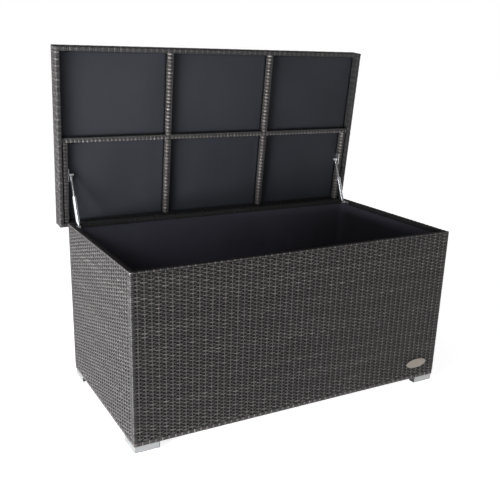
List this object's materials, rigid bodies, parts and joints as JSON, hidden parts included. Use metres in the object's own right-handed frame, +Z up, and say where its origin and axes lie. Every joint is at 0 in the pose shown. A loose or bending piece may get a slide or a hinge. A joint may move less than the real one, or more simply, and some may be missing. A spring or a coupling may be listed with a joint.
{
  "type": "deck storage box",
  "caption": "Outdoor storage box with woven sides on a tube frame, a fabric liner and a hinged woven lid held up by gas struts.",
  "frame": {"origin": "middle of the outline of the box with its lid open, at floor level", "axes": "+X to the right facing the front, +Y to the back with the hinges, +Z up"},
  "size_m": [1.34, 0.7802, 1.2769],
  "materials": {
    "wicker": "flat wicker strand in mottled dark brown and grey",
    "fabric": "plain woven dark blue-grey sheet",
    "frame_paint": "satin powder coat",
    "fastener_steel": "zinc plated",
    "badge_metal": "satin, warm tint",
    "foot_aluminium": "brushed along the legs",
    "black_plastic": "moulded",
    "hinge_steel": "satin powder coat",
    "bracket_steel": "plain bright plate",
    "strut_metal": "polished",
    "strut_end_metal": "polished",
    "rod_chrome": "mirror finish"
  },
  "bodies": {
    "base": {"front_bottom_rail": "frame_paint", "back_bottom_rail": "frame_paint", "left_bottom_rail": "frame_paint", "right_bottom_rail": "frame_paint", "front_top_rail": "frame_paint", "back_top_rail": "frame_paint", "left_top_rail": "frame_paint", "right_top_rail": "frame_paint", "corner_posts": "frame_paint", "hinge_rail": "frame_paint", "wall_uprights": "frame_paint", "floor_slats": "frame_paint", "front_weave": "wicker", "back_weave": "wicker", "left_weave": "wicker", "right_weave": "wicker", "top_rim_wrap": "wicker", "bottom_rail_wrap": "wicker", "liner": "fabric", "badge": "badge_metal", "corner_feet": "foot_aluminium", "foot_end_caps": "black_plastic", "foot_glides": "black_plastic", "foot_screws": "fastener_steel", "hinge_body_leaves": "hinge_steel", "hinge_pins": "fastener_steel", "hinge_body_screws": "fastener_steel", "strut_lower_brackets": "bracket_steel", "strut_lower_screws": "fastener_steel"},
    "lid": {"hinge_lid_leaves": "hinge_steel", "hinge_lid_screws": "fastener_steel", "lid_back_rail": "frame_paint", "lid_front_rail": "frame_paint", "lid_left_rail": "frame_paint", "lid_right_rail": "frame_paint", "lid_long_ribs": "frame_paint", "lid_cross_rib": "frame_paint", "lid_short_ribs": "frame_paint", "lid_rib_wraps": "wicker", "lid_top_weave": "wicker", "lid_edge_weave": "wicker", "lid_rim_wrap": "wicker", "lid_fabric": "fabric", "strut_upper_brackets": "bracket_steel", "strut_upper_screws": "fastener_steel"},
    "left_strut_cylinder": {"strut_left_cylinder": "strut_metal", "strut_left_base_eye": "strut_end_metal", "strut_left_guide": "black_plastic"},
    "left_strut_rod": {"strut_left_rod": "rod_chrome", "strut_left_lid_eye": "strut_end_metal", "strut_left_bolt": "fastener_steel"},
    "right_strut_cylinder": {"strut_right_cylinder": "strut_metal", "strut_right_base_eye": "strut_end_metal", "strut_right_guide": "black_plastic"},
    "right_strut_rod": {"strut_right_rod": "rod_chrome", "strut_right_lid_eye": "strut_end_metal", "strut_right_bolt": "fastener_steel"}
  },
  "joints": [
    {"name": "lid_hinge", "type": "hinge", "parent": "base", "child": "lid", "pos_m": [0, 0.29635, 0.594], "axis": [1, 0, 0], "range_deg": [0, 84.5]},
    {"name": "left_strut_swing", "type": "hinge", "parent": "base", "child": "left_strut_cylinder", "pos_m": [-0.6175, 0.25585, 0.62], "axis": [1, 0, 0], "range_deg": [0, 101.86]},
    {"name": "left_strut_slide", "type": "slide", "parent": "left_strut_cylinder", "child": "left_strut_rod", "axis": [0, 0.3905, 0.9206], "range_m": [-0.0321, 0]},
    {"name": "right_strut_swing", "type": "hinge", "parent": "base", "child": "right_strut_cylinder", "pos_m": [0.6175, 0.25585, 0.62], "axis": [1, 0, 0], "range_deg": [0, 101.86]},
    {"name": "right_strut_slide", "type": "slide", "parent": "right_strut_cylinder", "child": "right_strut_rod", "axis": [0, 0.3905, 0.9206], "range_m": [-0.0321, 0]}
  ],
  "couplings": [
    {"joint": "left_strut_swing", "follows": "lid_hinge", "ratio": 1.2054},
    {"joint": "left_strut_slide", "follows": "lid_hinge", "m_per_rad": -0.021764},
    {"joint": "right_strut_swing", "follows": "lid_hinge", "ratio": 1.2054},
    {"joint": "right_strut_slide", "follows": "lid_hinge", "m_per_rad": -0.021764}
  ]
}
